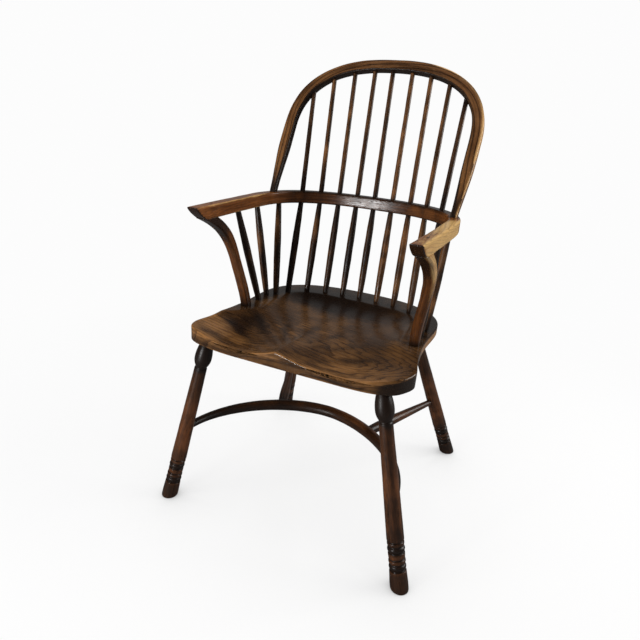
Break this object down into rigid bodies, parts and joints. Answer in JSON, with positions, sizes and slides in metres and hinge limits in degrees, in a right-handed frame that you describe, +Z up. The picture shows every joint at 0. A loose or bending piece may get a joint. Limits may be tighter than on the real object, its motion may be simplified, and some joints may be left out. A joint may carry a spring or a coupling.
{
  "type": "windsor armchair",
  "caption": "Wooden double-bow Windsor armchair: saddled seat, turned splayed legs, crinoline stretcher, arm bow on crook supports and a hooped stick back.",
  "frame": {"origin": "on the floor, in the middle of the four feet", "axes": "+Z up, -Y towards the front, +X to the right as seen from the front"},
  "size_m": [0.5997, 0.5569, 0.9742],
  "materials": {
    "seat_elm": "stained elm, waxed to a soft gloss, worn golden at the front edge",
    "turned_legs": "dark stained turned wood, waxed",
    "bent_bows": "steam-bent wood, dark stain rubbed to brown, waxed",
    "sticks": "dark stained shaved sticks, waxed",
    "pegs": "end grain, dark stain"
  },
  "bodies": {
    "root": {"seat": "seat_elm", "crinoline_stretcher": "bent_bows", "arm_bow": "bent_bows", "back_hoop": "bent_bows", "leg_front_left": "turned_legs", "leg_rear_left": "turned_legs", "spur_stretcher_left": "turned_legs", "arm_support_left": "bent_bows", "arm_peg_left": "pegs", "hoop_wedge_left": "pegs", "side_stick_left_1": "sticks", "side_stick_left_2": "sticks", "side_stick_left_3": "sticks", "leg_front_right": "turned_legs", "leg_rear_right": "turned_legs", "spur_stretcher_right": "turned_legs", "arm_support_right": "bent_bows", "arm_peg_right": "pegs", "hoop_wedge_right": "pegs", "side_stick_right_1": "sticks", "side_stick_right_2": "sticks", "side_stick_right_3": "sticks", "back_stick_1": "sticks", "back_stick_2": "sticks", "back_stick_3": "sticks", "back_stick_4": "sticks", "back_stick_5": "sticks", "back_stick_6": "sticks", "back_stick_7": "sticks", "back_stick_8": "sticks", "back_stick_9": "sticks"}
  },
  "joints": []
}
